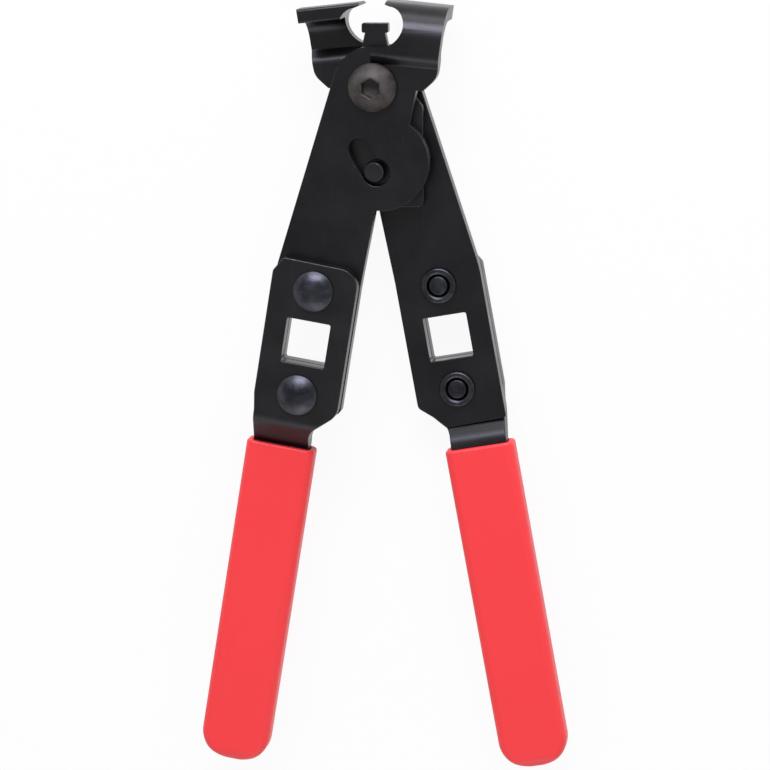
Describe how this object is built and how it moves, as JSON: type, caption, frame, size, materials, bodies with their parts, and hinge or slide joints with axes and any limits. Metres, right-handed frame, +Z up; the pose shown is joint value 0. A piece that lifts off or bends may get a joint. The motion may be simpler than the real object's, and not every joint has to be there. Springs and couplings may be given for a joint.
{
  "type": "hose clamp pliers",
  "caption": "Compound pliers that close a hooked jaw over a hose clamp ear while an anvil plate, driven by a cam pin, rises into the jaw; square drive holes and dipped grips.",
  "frame": {"origin": "under the middle of the tool's box, on the surface that it lies on", "axes": "+Y from the grips to the jaws, +Z up through the plates, X across the handles"},
  "size_m": [0.1086, 0.2254, 0.0294],
  "materials": {
    "lever_steel": "satin near-black coating on steel plate",
    "bar_steel": "satin near-black coating on steel bar",
    "anvil_steel": "satin dark grey, worn at the working end",
    "rivet_steel": "blued steel, smooth dome",
    "screw_steel": "dark phosphated steel",
    "grip_vinyl": "red dipped vinyl, softly glossy"
  },
  "bodies": {
    "pivot": {"pivot_screw": "screw_steel", "pivot_nut": "screw_steel"},
    "front_arm": {"front_lever": "lever_steel", "front_handle_bar": "bar_steel", "front_grip": "grip_vinyl", "front_rivet_upper": "rivet_steel", "front_rivet_lower": "rivet_steel"},
    "rear_arm": {"rear_lever": "lever_steel", "rear_handle_bar": "bar_steel", "rear_grip": "grip_vinyl", "rear_rivet_upper": "rivet_steel", "rear_rivet_lower": "rivet_steel"},
    "anvil": {"anvil_plate": "anvil_steel", "cam_pin": "anvil_steel"}
  },
  "joints": [
    {"name": "front_hinge", "type": "hinge", "parent": "pivot", "child": "front_arm", "pos_m": [0, 0.08856, 0.0147], "axis": [0, 0, 1], "range_deg": [0, 6]},
    {"name": "rear_hinge", "type": "hinge", "parent": "pivot", "child": "rear_arm", "pos_m": [0, 0.08856, 0.0147], "axis": [0, 0, -1], "range_deg": [0, 6]},
    {"name": "anvil_slide", "type": "slide", "parent": "pivot", "child": "anvil", "axis": [0, 1, 0], "range_m": [0, 0.00288]}
  ],
  "couplings": [
    {"joint": "rear_hinge", "follows": "front_hinge", "ratio": 1},
    {"joint": "anvil_slide", "follows": "front_hinge", "m_per_rad": 0.0275}
  ]
}
